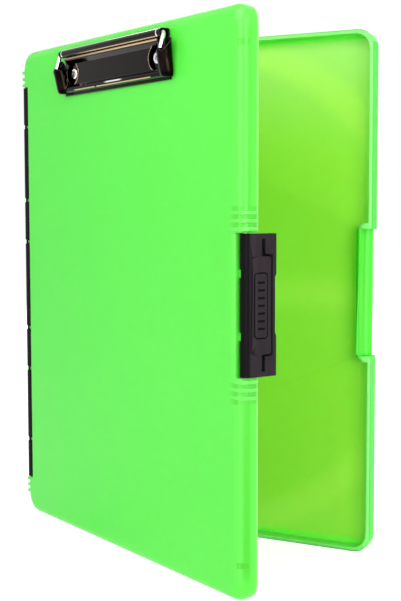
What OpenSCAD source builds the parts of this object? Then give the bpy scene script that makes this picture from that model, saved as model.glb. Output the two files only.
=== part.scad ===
// Storage clipboard box: a shallow two-shell case that opens like a book on a
// two-pin spine, with a pinned side latch and a low sprung paper clip on its lid.
// Drawn standing on its bottom edges with the lid swung open. +Z is up, the
// tray's back faces +Y. The origin is the middle of the tray's flat bottom edge.

/* [Case] */
// Width from the spine edge to the latch edge
case_w = 269.5; // [250:0.5:300]
// Height
case_h = 343; // [335:1:380]
// Depth of one shell, from its outer face to its rim
shell_d = 12.5; // [12:0.1:15]
// Gap between the two rims when the case is shut
parting_gap = 0.8; // [0.6:0.1:1.2]
// Thickness of the side walls
wall_t = 2.5; // [2:0.1:3]
// Thickness of the flat panels
panel_t = 2.2; // [1.8:0.1:2.8]
// Radius of the case's outline corners
corner_r = 16; // [14:0.5:20]
// Rounding round the lid's outer face
lid_edge_r = 6.5; // [5:0.1:7]
// Rounding round the tray's outer face
tray_edge_r = 4; // [3:0.1:5]
// Small step round the outside of each rim
rim_step = 0.8; // [0.5:0.1:1]
// Angle by which the lid stands open
open_angle = 26.3; // [5:0.1:80]

/* [Spine] */
// Distance of the spine's ends from the top and bottom of the case
spine_inset = 26.1; // [23.5:0.1:34]
// Outer radius of the spine's two barrels
knuckle_r = 4; // [3.8:0.1:4.3]
// Thickness of the spine's plate
spine_t = 2.4; // [1.8:0.1:3]
// Depth of the V grooves between the knuckles
groove_d = 0.6; // [0.3:0.1:0.7]
// Height of the first pair of grooves above and below the middle
groove_z1 = 32.1; // [26:0.1:38]
// Height of the second pair of grooves above and below the middle
groove_z2 = 63; // [54:0.5:72]
// Height of the third pair of grooves above and below the middle
groove_z3 = 117; // [100:0.5:125]
// Radius of the two hinge pins
hinge_pin_r = 1.25; // [1:0.05:1.4]
// Thickness of a shell's hinge lug, along the pin
lug_t = 1.8; // [1.4:0.1:2.4]
// Radius of the eye at a hinge lug's end
lug_eye_r = 2.2; // [2:0.05:2.4]
// Thickness of a hinge lug's arm
lug_arm_t = 2; // [1.6:0.1:2.2]
// Gap between the spine's barrel and the shell's wall
spine_gap = 0.7; // [0.5:0.1:1]
// Rounding of the panel's edge beside the spine
spine_bay_r = 1.5; // [1:0.1:2]

/* [Latch] */
// Length of the latch
latch_len = 82; // [70:0.5:88]
// Height of the latch's middle above the middle of the case
latch_rise = 1.3; // [0:0.1:5]
// Depth of the bay that the latch lies in, from the side of the case
latch_bay_w = 8; // [7.5:0.1:9]
// Gap between the latch's ends and its bay
latch_end_gap = 0.5; // [0.4:0.1:2]
// Rounding of the lid's edge beside the latch
latch_bay_r = 2; // [1:0.1:2.2]
// Rounding of the bay's wall on the inside of the case
bay_corner_r = 5; // [3:0.5:7]
// Distance of the latch's pin from the side of the case
latch_pin_in = 3.5; // [3.3:0.1:3.7]
// Distance of the latch's pin from the lid's outer face
latch_pin_deep = 5.3; // [4.5:0.1:6]
// Radius of the latch's barrel
latch_barrel_r = 3.15; // [3.1:0.05:4]
// Radius of the latch's pin
latch_pin_r = 1.2; // [1:0.05:1.4]
// How far the latch's plate stands out from the side of the case
latch_proud = 1; // [0.6:0.1:1.5]
// Thickness of the latch's plate
latch_t = 2.2; // [1.8:0.1:2.6]
// Length of the slope between the latch's barrel and its plate
latch_slope = 4; // [3:0.1:5]
// Distance of the latch's two lugs from its middle
latch_lug_z = 18; // [14:0.5:24]
// Length of a latch lug, along the pin
latch_lug_len = 4.6; // [3:0.1:6]
// Radius of the eye at a latch lug's end
latch_eye_r = 2.2; // [2:0.05:2.3]
// Thickness of a latch lug's arm
latch_arm_t = 2; // [1.6:0.1:2.6]
// Length of the raised thumb pad
pad_len = 56; // [50:0.5:60]
// Width of the thumb pad
pad_w = 11.8; // [10:0.1:12.5]
// Height of the thumb pad
pad_h = 1.2; // [0.6:0.1:1.5]
// Distance of the pad's middle from the lid's outer face
pad_deep = 13.7; // [12.5:0.1:14.2]
// Length of the grooved field on the pad
field_len = 38; // [30:0.5:44]
// Width of the grooved field
field_w = 9.2; // [7:0.1:10]
// Width of the groove round the field
field_line = 0.7; // [0.5:0.1:1]
// Depth of the field's grooves
field_d = 0.5; // [0.3:0.1:0.8]
// Number of grip grooves in the field
grip_count = 7; // [4:1:9]
// Width of a grip groove
grip_w = 1.3; // [1:0.1:2]
// Length of the slits above and below the pad
slit_len = 9.6; // [6:0.1:11]
// Width of the slits
slit_w = 1.9; // [0.8:0.1:2.2]
// Distance of the slits' middle from the lid's outer face
slit_deep = 15; // [13:0.1:16]
// Width of the flex groove along the pad's free side
flex_w = 1.2; // [0.8:0.1:1.6]
// Depth of the flex groove
flex_d = 1.2; // [0.6:0.1:1.4]
// Length of the finger notch in the latch's free edge
notch_len = 31.5; // [24:0.5:36]
// Length of each sloping end of the finger notch
notch_slope = 3; // [2:0.1:4]
// Depth of the finger notch
notch_d = 1.3; // [0.8:0.1:1.6]

/* [Catch] */
// Distance of the catch rail's hooked face from the tray's outer face
catch_inset = 3.5; // [3:0.1:4]
// Thickness of the catch rail
rail_t = 2.2; // [1.6:0.1:2.6]
// Distance of the rail's edge from the side of the case
rail_in = 2.2; // [1.8:0.1:2.8]
// Thickness of the latch's hooked lip
lip_t = 2.1; // [1.6:0.1:2.4]
// How far the lip reaches behind the rail
lip_bite = 3; // [2:0.1:3.5]

/* [Side ribs] */
// Distance of the first rib from the latch's middle
rib_first = 43.6; // [42.8:0.1:50]
// Spacing of the ribs
rib_pitch = 4.6; // [4:0.1:6]
// Width of a rib
rib_w = 1.8; // [1:0.1:2.5]
// Height of the ribs beside the latch
latch_rib_h = 1.1; // [0.5:0.1:1.4]
// Height of the ribs beyond the spine's ends
spine_rib_h = 1.7; // [0.8:0.1:2]
// Distance of the first rib from the spine's end
spine_rib_first = 2; // [1.8:0.1:3]

/* [Paper clip] */
// Distance of the clip's wire below the top of the case
clip_down = 9.3; // [9.2:0.1:60]
// Height of the clip's wire above the lid
wire_up = 5.2; // [5:0.1:6.5]
// Radius of the clip's wire
wire_r = 1.4; // [1:0.05:1.5]
// Thickness of the clip's sheet metal
sheet_t = 1.2; // [0.8:0.05:1.3]
// Width of the base plate
base_w = 130; // [110:1:140]
// Distance of the rolled tube's ends from the base plate's sides
tube_in = 1.9; // [1.5:0.1:3]
// Length of the base plate below the wire
base_drop = 28.1; // [27.7:0.1:30]
// Length of the jaw below the wire
jaw_drop = 26.3; // [25.5:0.1:26.6]
// Radius of the rolled ends of the jaw at their top
roll_top_r = 4.9; // [4.8:0.1:5]
// Radius of the rolled ends of the jaw at their bottom
roll_low_r = 2.4; // [2.2:0.1:2.6]
// Length of the rolled ends before their tops are cut on a slant
roll_h = 21; // [19:0.5:22]
// How far the rolled ends lean out from the lid
roll_lean = 3.7; // [3:0.1:4]
// How far the rolled ends lean in towards the clip's middle
roll_in = 1.7; // [1:0.1:2]
// Distance of the slanted cut's front below the wire
roll_cut = 10.3; // [9.8:0.1:10.6]
// Length of the wire's arms
arm_drop = 11.2; // [10:0.1:11.4]
// How far the wire's arms lean out from the lid
arm_lean = 2.6; // [1:0.1:2.8]
// Radius of the jaw's round windows
window_r = 7.2; // [6:0.1:7.5]
// Width of the raised rim round a window
window_rim = 0.8; // [0.5:0.1:1.2]
// Width of the jaw's flange under the tube
flange_w = 116; // [90:1:118]
// Distance of the rivets from the base plate's sides
rivet_in = 13.4; // [12:0.1:20]
// Distance of the rivets below the wire
rivet_drop = 13.8; // [13:0.1:14.2]
// Radius of a rivet's head
rivet_head_r = 3.9; // [3.5:0.1:4.5]
// Radius of a rivet's shank
rivet_r = 2; // [1.5:0.1:2.2]
// Radius of the washers under the rivets inside the lid
washer_r = 5.2; // [4.5:0.1:6]
// Thickness of those washers
washer_t = 1; // [0.8:0.1:1.5]

/* [Hidden] */
$fn = 64;

pin_fit = 0.05;    // radial running clearance of every pin
seat_fit = 0.05;   // radial clearance of a rivet in its holes
part_gap = 0.3;    // clearance between pieces that move past each other
over = 1;          // how far a cutting shape runs past the face it cuts
pin_seat = 3;      // depth of a pin's blind hole in a bay's end wall
bay_end_wall = 4;  // wall beyond each end of a bay
spine_end_gap = 0.4;
lid_swing = 85;    // how far the lid turns on the spine, from shut
spine_swing = 95;  // how far the spine turns on the tray
latch_swing = 60;  // how far the latch turns on the lid

total_d = 2 * shell_d + parting_gap;
front_y = -total_d / 2;
back_y = total_d / 2;
left_x = -case_w / 2;
right_x = case_w / 2;
foot_y = (parting_gap / 2 + back_y - tray_edge_r) / 2;

hinge_len = case_h - 2 * spine_inset;
hinge_x = left_x + knuckle_r;
front_axis_y = front_y + knuckle_r;
rear_axis_y = back_y - knuckle_r;
spine_bay_w = 2 * knuckle_r + spine_gap;
spine_bay_half = hinge_len / 2 + spine_end_gap;
grooves = [-groove_z3, -groove_z2, -groove_z1, groove_z1, groove_z2, groove_z3];
lug_clear_r = lug_eye_r + part_gap;
lug_slot = lug_t + 2 * part_gap;
neck_r = knuckle_r - groove_d;

latch_x = right_x - latch_pin_in;
latch_y = front_y + latch_pin_deep;
latch_bay_len = latch_len + 2 * latch_end_gap;
latch_face_x = right_x + latch_proud;
lip_y = back_y - catch_inset + part_gap;
latch_end_y = lip_y + lip_t;
latch_slot = latch_lug_len + 2 * part_gap;

wire_y = front_y - wire_up;
curl_r = wire_r + pin_fit + sheet_t;
clip_rise = case_h / 2 - clip_down;
rivet_x = base_w / 2 - rivet_in;
rivet_z = clip_rise - rivet_drop;
tube_half = base_w / 2 - tube_in;

// ---- Placing --------------------------------------------------------------

// Everything is drawn about the case's middle, shut, then stood on the ground.
module stand() {
    translate([0, -foot_y, case_h / 2]) children();
}

// The lid and all that it carries, swung open about the front pin.
module swung() {
    stand() translate([hinge_x, front_axis_y, 0]) rotate([0, 0, -open_angle])
        translate([-hinge_x, -front_axis_y, 0]) children();
}

// Turns a shape drawn in XY so that its extrusion runs along +Y, X kept, Y to Z.
module upright() {
    mirror([0, 1, 0]) rotate([90, 0, 0]) children();
}

// ---- Flat shapes ----------------------------------------------------------

module rounded_rect(w, h, r) {
    square([w - 2 * r, h], center = true);
    square([w, h - 2 * r], center = true);
    for (sx = [-1, 1], sy = [-1, 1])
        translate([sx * (w / 2 - r), sy * (h / 2 - r)]) circle(r);
}

// The corner of a square of side r outside its inscribed quarter circle.
module corner_waste(r) {
    difference() {
        translate([-over, -over]) square(r + over);
        translate([r, r]) circle(r);
    }
}

// Section of a shell's blank: width w, depth d, the two outer edges rounded.
module pan_section(w, d, r) {
    difference() {
        translate([-w / 2, 0]) square([w, d]);
        for (side = [0, 1]) mirror([side, 0]) translate([-w / 2, 0]) corner_waste(r);
    }
}

// A slice of a disc from angle a0 to a1.
module sector(r, a0, a1) {
    steps = 16;
    polygon(concat([[0, 0]],
        [for (i = [0:steps]) let (a = a0 + (a1 - a0) * i / steps) r * [cos(a), sin(a)]]));
}

// Sheet metal of thickness t bent through a list of points.
module bent_sheet(points, t) {
    for (i = [0:len(points) - 2]) {
        run = points[i + 1] - points[i];
        translate(points[i]) rotate(atan2(run[1], run[0]))
            translate([0, -t / 2]) square([norm(run), t]);
    }
    for (p = points) translate(p) circle(t / 2);
}

// ---- Shells ---------------------------------------------------------------

// Closed blank with rounded outline corners and a rounded outer edge.
// Its outer face is at y = 0 and its rim at y = d.
module blank(w, h, d, rc, re) {
    linear_extrude(h - 2 * rc, center = true) pan_section(w, d, re);
    rotate([0, 90, 0]) linear_extrude(w - 2 * rc, center = true) pan_section(h, d, re);
    for (sx = [-1, 1], sz = [-1, 1])
        translate([sx * (w / 2 - rc), 0, sz * (h / 2 - rc)])
            rotate([-90, 0, 0]) rotate_extrude() intersection() {
                pan_section(2 * rc, d, re);
                square([rc, d]);
            }
}

// The bay that the spine's barrels lie in, grown by the walls round it.
module spine_bay(side, end) {
    half = spine_bay_half + end;
    translate([left_x - over, -over, -half])
        cube([over + spine_bay_w + side, shell_d + 2 * over, 2 * half]);
}

// The bay that the latch lies in, grown by the walls round it.
module latch_bay(side, end, r) {
    reach = latch_bay_w + side;
    len_z = latch_bay_len + 2 * end;
    translate([right_x - reach + (reach + over + r) / 2, -over, latch_rise])
        upright() linear_extrude(shell_d + 2 * over) rounded_rect(reach + over + r, len_z, r);
}

// Rounds a panel's edge where a bay cuts through it.
module bay_edge(x, len_z, z, r, side) {
    translate([x, 0, z]) mirror([side, 0, 0])
        linear_extrude(len_z, center = true) corner_waste(r);
}

// Step round the outside of the rim.
module rim_cut() {
    translate([0, shell_d - rim_step, 0]) upright() linear_extrude(rim_step + over)
        difference() {
            rounded_rect(case_w + 2 * over, case_h + 2 * over, corner_r + over);
            rounded_rect(case_w - 2 * rim_step, case_h - 2 * rim_step, corner_r - rim_step);
        }
}

// Lugs that reach into the spine's grooves and carry a hinge pin.
module hinge_lugs() {
    for (z = grooves) translate([hinge_x, knuckle_r, z]) {
        cylinder(r = lug_eye_r, h = lug_t, center = true);
        translate([0, -lug_arm_t / 2, -lug_t / 2])
            cube([spine_bay_w - knuckle_r + wall_t / 2, lug_arm_t, lug_t]);
    }
}

// One shell, its outer face at y = 0.
module shell(edge_r) {
    difference() {
        blank(case_w, case_h, shell_d, corner_r, edge_r);
        spine_bay(0, 0);
        latch_bay(0, 0, over / 2);
        difference() {
            translate([0, panel_t, 0])
                blank(case_w - 2 * wall_t, case_h - 2 * wall_t, shell_d,
                      corner_r - wall_t, edge_r - wall_t);
            spine_bay(wall_t, bay_end_wall);
            latch_bay(wall_t, bay_end_wall, bay_corner_r);
        }
        rim_cut();
        bay_edge(left_x + spine_bay_w, 2 * spine_bay_half, 0, spine_bay_r, 0);
        bay_edge(right_x - latch_bay_w, latch_bay_len, latch_rise, latch_bay_r, 1);
    }
    hinge_lugs();
}

// Bore for a hinge pin, through the lugs and blind in the bay's end walls.
module hinge_bore(y) {
    translate([hinge_x, y, 0])
        cylinder(r = hinge_pin_r + pin_fit, h = 2 * (spine_bay_half + pin_seat), center = true);
}

// Section of a rib on the lid's side wall: it swells out of the rounded edge.
module rib_section(h) {
    intersection() {
        translate([-lid_edge_r, lid_edge_r]) circle(lid_edge_r + h);
        translate([-lid_edge_r, 0]) square([lid_edge_r + h, lid_edge_r]);
    }
    translate([-wall_t / 2, lid_edge_r])
        square([wall_t / 2 + h, shell_d - lid_edge_r - 2 * rim_step]);
}

// A row of three ribs above and below height z0, first_z away from it.
module side_ribs(z0, first_z, h) {
    for (i = [0:2], s = [-1, 1])
        translate([right_x, 0, z0 + s * (first_z + i * rib_pitch)])
            linear_extrude(rib_w, center = true) rib_section(h);
}

module tray() {
    color("limegreen") stand() difference() {
        union() {
            translate([0, back_y, 0]) mirror([0, 1, 0]) shell(tray_edge_r);
            catch_rail();
        }
        hinge_bore(rear_axis_y);
    }
}

// Rail across the tray's bay, behind which the latch hooks.
module catch_rail() {
    inner_x = right_x - latch_bay_w - wall_t / 2;
    len_z = latch_bay_len + bay_end_wall;
    translate([inner_x, back_y - catch_inset - rail_t, latch_rise - len_z / 2])
        cube([right_x - rail_in - inner_x, rail_t, len_z]);
}

module lid() {
    color("lightgreen") swung() difference() {
        translate([0, front_y, 0]) {
            shell(lid_edge_r);
            side_ribs(latch_rise, rib_first, latch_rib_h);
            mirror([1, 0, 0]) side_ribs(0, hinge_len / 2 + spine_rib_first, spine_rib_h);
            latch_lugs();
        }
        hinge_bore(front_axis_y);
        translate([latch_x, latch_y, latch_rise])
            cylinder(r = latch_pin_r + pin_fit, h = latch_bay_len + 2 * pin_seat, center = true);
        for (s = [-1, 1]) translate([s * rivet_x, front_y - over, rivet_z])
            upright() cylinder(r = rivet_r + seat_fit, h = panel_t + 2 * over);
    }
}

// Lugs that carry the latch's pin.
module latch_lugs() {
    for (s = [-1, 1])
        translate([latch_x, latch_pin_deep, latch_rise + s * latch_lug_z]) {
            cylinder(r = latch_eye_r, h = latch_lug_len, center = true);
            translate([latch_pin_in - latch_bay_w - wall_t / 2, -latch_arm_t / 2, -latch_lug_len / 2])
                cube([latch_bay_w + wall_t / 2 - latch_pin_in, latch_arm_t, latch_lug_len]);
        }
}

// ---- Spine ----------------------------------------------------------------

// Half section of a barrel: knuckles parted by V grooves.
module barrel_section() {
    half = hinge_len / 2;
    flat = lug_slot / 2;
    waists = [for (z = grooves) each [[knuckle_r, z - flat - groove_d], [neck_r, z - flat],
                                      [neck_r, z + flat], [knuckle_r, z + flat + groove_d]]];
    polygon(concat([[0, -half], [knuckle_r, -half]], waists, [[knuckle_r, half], [0, half]]));
}

// Room for the shells' lugs in one barrel, swept from angle a0 to a1.
module lug_room(a0, a1) {
    margin = asin(lug_arm_t / 2 / lug_clear_r) + 4;
    for (z = grooves) translate([0, 0, z]) linear_extrude(lug_slot, center = true) {
        circle(lug_clear_r);
        sector(knuckle_r + over, a0 - margin, a1 + margin);
    }
}

module spine() {
    color([0.13, 0.12, 0.12]) stand() difference() {
        union() {
            for (y = [front_axis_y, rear_axis_y])
                translate([hinge_x, y, 0]) rotate_extrude() barrel_section();
            translate([left_x, front_axis_y, -hinge_len / 2])
                cube([spine_t, rear_axis_y - front_axis_y, hinge_len]);
        }
        for (y = [front_axis_y, rear_axis_y]) translate([hinge_x, y, 0])
            cylinder(r = hinge_pin_r + pin_fit, h = hinge_len + 2 * over, center = true);
        translate([hinge_x, front_axis_y, 0]) lug_room(-lid_swing, 0);
        translate([hinge_x, rear_axis_y, 0]) lug_room(0, spine_swing);
        for (z = grooves) translate([left_x, 0, z]) rotate([0, 45, 0])
            cube([groove_d * sqrt(2), total_d, groove_d * sqrt(2)], center = true);
    }
}

module hinge_pin(y) {
    color("silver") stand() translate([hinge_x, y, 0])
        cylinder(r = hinge_pin_r, h = 2 * (spine_bay_half + pin_seat - part_gap), center = true);
}

module hinge_pin_rear() {
    hinge_pin(rear_axis_y);
}

module hinge_pin_front() {
    hinge_pin(front_axis_y);
}

// ---- Latch ----------------------------------------------------------------

// Section of the latch: barrel, plate and hooked lip.
module latch_section() {
    inner_x = latch_face_x - latch_t;
    edge_r = 0.8;
    translate([latch_x, latch_y]) circle(latch_barrel_r);
    difference() {
        polygon([[inner_x, latch_y], [latch_x + latch_barrel_r, latch_y],
                 [latch_face_x, latch_y + latch_slope], [latch_face_x, latch_end_y],
                 [inner_x, latch_end_y]]);
        translate([latch_face_x, latch_end_y]) rotate(180) corner_waste(edge_r);
    }
    tip_x = right_x - rail_in - lip_bite;
    translate([tip_x, lip_y]) square([inner_x - tip_x + edge_r, lip_t]);
}

// Lays a shape drawn in (depth, height) on the latch's face, about the pad's middle.
module on_latch_face() {
    translate([latch_face_x, front_y + pad_deep, latch_rise]) rotate([90, 0, 90]) children();
}

module pad_outline(grow) {
    rounded_rect(pad_w + 2 * grow, pad_len + 2 * grow, 1.6 + grow);
}

// Grooves in the pad: a line round a field of plain grip grooves.
module pad_grooves() {
    field_r = 2.4;
    pitch = (field_len - 4 * field_line) / (grip_count + 1);
    grip_len = field_w - 6 * field_line;
    on_latch_face() translate([0, 0, pad_h - field_d]) {
        linear_extrude(field_d + over) difference() {
            rounded_rect(field_w, field_len, field_r);
            rounded_rect(field_w - 2 * field_line, field_len - 2 * field_line, field_r - field_line);
        }
        for (i = [1:grip_count])
            translate([-grip_len / 2, (i - (grip_count + 1) / 2) * pitch - grip_w / 2, 0])
                cube([grip_len, grip_w, field_d + over]);
    }
}

// Slits above and below the pad and the flex groove that joins them.
module pad_slits() {
    run = slit_deep - pad_deep;
    for (s = [-1, 1])
        translate([right_x, front_y + slit_deep,
                   latch_rise + s * (pad_len / 2 + slit_len / 2 + part_gap)])
            cube([3 * latch_t, slit_w, slit_len], center = true);
    on_latch_face() translate([0, 0, -flex_d]) linear_extrude(flex_d + over) intersection() {
        difference() {
            pad_outline(flex_w);
            pad_outline(0);
        }
        translate([run, -pad_len]) square([pad_w, 2 * pad_len]);
    }
}

// Finger notch in the latch's free edge, with sloping ends.
module finger_notch() {
    long = notch_len / 2 + notch_slope;
    floor_y = latch_end_y - notch_d;
    translate([right_x - latch_bay_w, 0, latch_rise]) rotate([90, 0, 90])
        linear_extrude(latch_bay_w + latch_proud + over)
            polygon([[floor_y, -notch_len / 2], [floor_y, notch_len / 2],
                     [latch_end_y, long], [latch_end_y + over, long],
                     [latch_end_y + over, -long], [latch_end_y, -long]]);
}

module latch() {
    margin = asin(latch_arm_t / 2 / (latch_eye_r + part_gap)) + 4;
    room_r = latch_barrel_r + over;
    color([0.16, 0.15, 0.15]) swung() difference() {
        union() {
            translate([0, 0, latch_rise])
                linear_extrude(latch_len, center = true) latch_section();
            on_latch_face() translate([0, 0, -latch_t / 2])
                linear_extrude(latch_t / 2 + pad_h) pad_outline(0);
        }
        translate([latch_x, latch_y, latch_rise])
            cylinder(r = latch_pin_r + pin_fit, h = latch_len + 2 * over, center = true);
        for (s = [-1, 1]) translate([latch_x, latch_y, latch_rise + s * latch_lug_z])
            linear_extrude(latch_slot, center = true) {
                circle(latch_eye_r + part_gap);
                sector(room_r, 180 - margin, 180 + latch_swing + margin);
            }
        pad_grooves();
        pad_slits();
        finger_notch();
    }
}

module latch_pin() {
    color("silver") swung() translate([latch_x, latch_y, latch_rise])
        cylinder(r = latch_pin_r, h = latch_bay_len + 2 * (pin_seat - part_gap), center = true);
}

// ---- Paper clip -----------------------------------------------------------

// Draws a section of the clip in (height above the lid, height from the wire)
// and runs it along X for width w.
module clip_run(w) {
    translate([0, front_y, clip_rise]) rotate([90, 0, -90])
        linear_extrude(w, center = true) children();
}

// Base plate: flat on the lid, turned up and rolled round the wire at its top.
module clip_base() {
    shoulder = 3;
    color([0.2, 0.19, 0.2]) swung() difference() {
        union() {
            clip_run(2 * tube_half) difference() {
                union() {
                    translate([0, -base_drop]) square([sheet_t, base_drop + curl_r]);
                    translate([0, curl_r - sheet_t]) square([wire_up, sheet_t]);
                    translate([wire_up, 0]) circle(curl_r);
                }
                translate([wire_up, 0]) circle(wire_r + pin_fit);
                translate([0, curl_r]) rotate(-90) corner_waste(sheet_t);
            }
            clip_run(base_w) translate([0, -base_drop]) square([sheet_t, base_drop - shoulder]);
        }
        for (s = [-1, 1]) translate([s * rivet_x, front_y - sheet_t - over, rivet_z])
            upright() cylinder(r = rivet_r + seat_fit, h = sheet_t + 2 * over);
    }
}

// Stands a shape's Z axis on the line from a to b. Both are given as distance
// from the clip's middle, height above the lid and height from the wire.
module clip_line(a, b) {
    run = [b[0] - a[0], a[1] - b[1], b[2] - a[2]];
    translate([a[0], front_y - a[1], clip_rise + a[2]])
        rotate([0, acos(run[2] / norm(run)), atan2(run[1], run[0])]) children();
}

// Bends of the jaw's sheet, from the flange under the tube, down its flat front
// and over the bead above its lip.
jaw_up = sheet_t + part_gap + 0.2 + sheet_t / 2;
jaw_bends = [
    [wire_up + 0.5, -curl_r - part_gap - sheet_t / 2 - 0.1],
    [wire_up - 0.1, -4.7],
    [jaw_up, -7.2],
    [jaw_up, 5 - jaw_drop],
    [jaw_up + 1.6, 2.9 - jaw_drop],
    [jaw_up + 1.3, 1.3 - jaw_drop],
    [sheet_t + part_gap + sheet_t / 2, sheet_t / 2 - jaw_drop]
];

// Middle line of a rolled end of the jaw, and the wire's arm that enters it.
roll_low = [base_w / 2 + part_gap + roll_low_r, roll_low_r + part_gap + 0.1, part_gap - jaw_drop];
roll_top = roll_low + [-roll_in, roll_lean, roll_h];
roll_len = norm(roll_top - roll_low);
arm_top = [tube_half + wire_r + 0.9, wire_up, 0];
arm_end = arm_top + [0, arm_lean, -arm_drop];

// Outside of a rolled end: a tapered tube whose top is cut on a slant.
module jaw_roll() {
    slant = 46;
    difference() {
        clip_line(roll_low, roll_top) cylinder(r1 = roll_low_r, r2 = roll_top_r, h = roll_len);
        translate([roll_top[0], front_y - wire_up - 3.3, clip_rise - roll_cut]) rotate([slant, 0, 0])
            translate([-case_w / 2, -case_w / 2, 0]) cube([case_w, case_w, case_w]);
    }
}

// Hollow of a rolled end from below and from above, and the hole for the wire's arm.
module jaw_roll_hollow() {
    top_hollow = 6;
    web = 3;
    clip_line(roll_low, roll_top) {
        translate([0, 0, -over])
            cylinder(r = roll_low_r - sheet_t, h = roll_len + over - top_hollow - web);
        translate([0, 0, roll_len - top_hollow])
            cylinder(r = roll_top_r - 1.6 * sheet_t, h = top_hollow + over);
    }
    wire_arm(wire_r + pin_fit);
}

// The wire's arm, from its elbow down into the rolled end.
module wire_arm(r) {
    run = arm_end - arm_top;
    translate([arm_top[0], wire_y, clip_rise]) rotate([180 + atan2(run[1], -run[2]), 0, 0])
        cylinder(r = r, h = norm(run));
}

module clip_jaw() {
    sheet_half = roll_low[0] - roll_low_r + 0.9;
    lip_in = 4;
    rim_h = 0.4;
    side_top = 3.7;
    side_low = 4.4 - jaw_drop;
    color([0.17, 0.16, 0.17]) swung() difference() {
        union() {
            clip_run(flange_w) bent_sheet(jaw_bends, sheet_t);
            clip_run(2 * (sheet_half - lip_in))
                bent_sheet([for (i = [3:len(jaw_bends) - 1]) jaw_bends[i]], sheet_t);
            translate([0, front_y - jaw_up - sheet_t / 2, clip_rise])
                upright() linear_extrude(sheet_t) difference() {
                    translate([0, (side_low - side_top) / 2])
                        rounded_rect(2 * sheet_half, -side_top - side_low, 3);
                    translate([over - flange_w / 2, jaw_bends[2][1]])
                        square([flange_w - 2 * over, case_w]);
                }
            for (s = [-1, 1])
                translate([s * rivet_x, front_y - jaw_up - sheet_t / 2 - rim_h, rivet_z])
                    upright() cylinder(r = window_r + window_rim, h = sheet_t / 2 + rim_h);
            for (side = [0, 1]) mirror([side, 0, 0]) jaw_roll();
        }
        for (s = [-1, 1]) translate([s * rivet_x, front_y - 2 * wire_up, rivet_z])
            upright() cylinder(r = window_r, h = 2 * wire_up);
        for (side = [0, 1]) mirror([side, 0, 0]) jaw_roll_hollow();
    }
}

module clip_spring() {
    color("silver") swung() {
        translate([0, wire_y, clip_rise]) rotate([0, 90, 0])
            cylinder(r = wire_r, h = 2 * arm_top[0], center = true);
        for (side = [0, 1]) mirror([side, 0, 0]) {
            translate([arm_top[0], wire_y, clip_rise]) sphere(wire_r);
            wire_arm(wire_r);
        }
    }
}

// Hollow rivet: domed head on the base plate, clinched over a washer in the lid.
module rivet(x) {
    head_h = 1.2;
    clinch_h = 1;
    clinch_r = 3.1;
    eye_r = 1.3;
    grip = sheet_t + panel_t + washer_t;
    color("silver") swung() translate([x, front_y - sheet_t, rivet_z]) upright()
        rotate_extrude() difference() {
            union() {
                intersection() {
                    translate([0, -head_h]) square([rivet_head_r, head_h]);
                    translate([rivet_head_r - head_h, 0]) circle(head_h);
                }
                translate([0, -head_h]) square([rivet_head_r - head_h, head_h]);
                square([rivet_r, grip + clinch_h]);
                translate([0, grip]) square([clinch_r, clinch_h]);
            }
            translate([0, -head_h - over]) square([eye_r, 2 * head_h + over]);
        }
}

module rivet_left() {
    rivet(-rivet_x);
}

module rivet_right() {
    rivet(rivet_x);
}

module washer(x) {
    color("gainsboro") swung() translate([x, front_y + panel_t, rivet_z]) upright()
        difference() {
            cylinder(r = washer_r, h = washer_t);
            translate([0, 0, -over]) cylinder(r = rivet_r + seat_fit, h = washer_t + 2 * over);
        }
}

module washer_left() {
    washer(-rivet_x);
}

module washer_right() {
    washer(rivet_x);
}

tray();
lid();
spine();
hinge_pin_rear();
hinge_pin_front();
latch();
latch_pin();
clip_base();
clip_jaw();
clip_spring();
rivet_left();
rivet_right();
washer_left();
washer_right();
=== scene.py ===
"""Looks of a storage clipboard box: a frosted neon-green case that opens like a
book, with a black spine and latch, and a black-nickel paper clip."""

import math

import bmesh
import bpy
from bpy.props import FloatProperty, FloatVectorProperty, PointerProperty
from mathutils import Matrix, Vector


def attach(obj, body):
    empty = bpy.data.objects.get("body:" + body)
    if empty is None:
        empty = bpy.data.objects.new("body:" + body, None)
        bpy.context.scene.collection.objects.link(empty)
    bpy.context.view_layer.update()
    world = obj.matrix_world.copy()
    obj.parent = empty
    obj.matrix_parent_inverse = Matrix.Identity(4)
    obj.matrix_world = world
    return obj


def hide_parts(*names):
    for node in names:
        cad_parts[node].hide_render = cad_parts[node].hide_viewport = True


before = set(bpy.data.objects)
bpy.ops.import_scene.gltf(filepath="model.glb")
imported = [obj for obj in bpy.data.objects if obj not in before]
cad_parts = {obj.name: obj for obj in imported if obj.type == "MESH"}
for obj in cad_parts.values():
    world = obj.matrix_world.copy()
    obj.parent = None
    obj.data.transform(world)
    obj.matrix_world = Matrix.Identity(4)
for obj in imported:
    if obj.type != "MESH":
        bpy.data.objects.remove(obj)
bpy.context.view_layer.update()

bl_info = {
    "name": "Storage clipboard box",
    "version": (1, 0, 0),
    "blender": (4, 5, 0),
    "location": "View3D > Sidebar > Clipboard box",
    "description": "Builds the finished pieces of a storage clipboard box and its stage",
    "category": "Object",
}

# Sizes of the case in millimetres, as in the part's source. Heights run from the
# ground, depths from the tray's standing edge, with the case shut.
MM = 0.001
SIDE_X = 134.75
CASE_H = 343.0
FOOT_Y = 4.65
FRONT_Y = -12.9 - FOOT_Y
BACK_Y = 12.9 - FOOT_Y
SHELL_D = 12.5
CAD_CORNER_R = 16.0
CORNER_R = 11.0
HINGE = Vector((-130.75, -8.9 - FOOT_Y, 0))
OPEN_ANGLE = math.radians(26.3)
WIRE_Y = FRONT_Y - 5.2
WIRE_Z = 333.7
ARM_X = 64.9
ARM_DROP = 10.1
ARM_LEAN = 3.0
RIB_FIRST = 43.6
RIB_PITCH = 4.6
LATCH_FACE_X = 135.75
LATCH_Z = 172.8
EAR_CUT_X = 61.9
EAR_TOP = 322.7
RIVET_X = 51.6
RIVET_Z = 319.9
FOOT_FULL_Z = 309.0
FOOT_END_Z = 311.0

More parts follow.
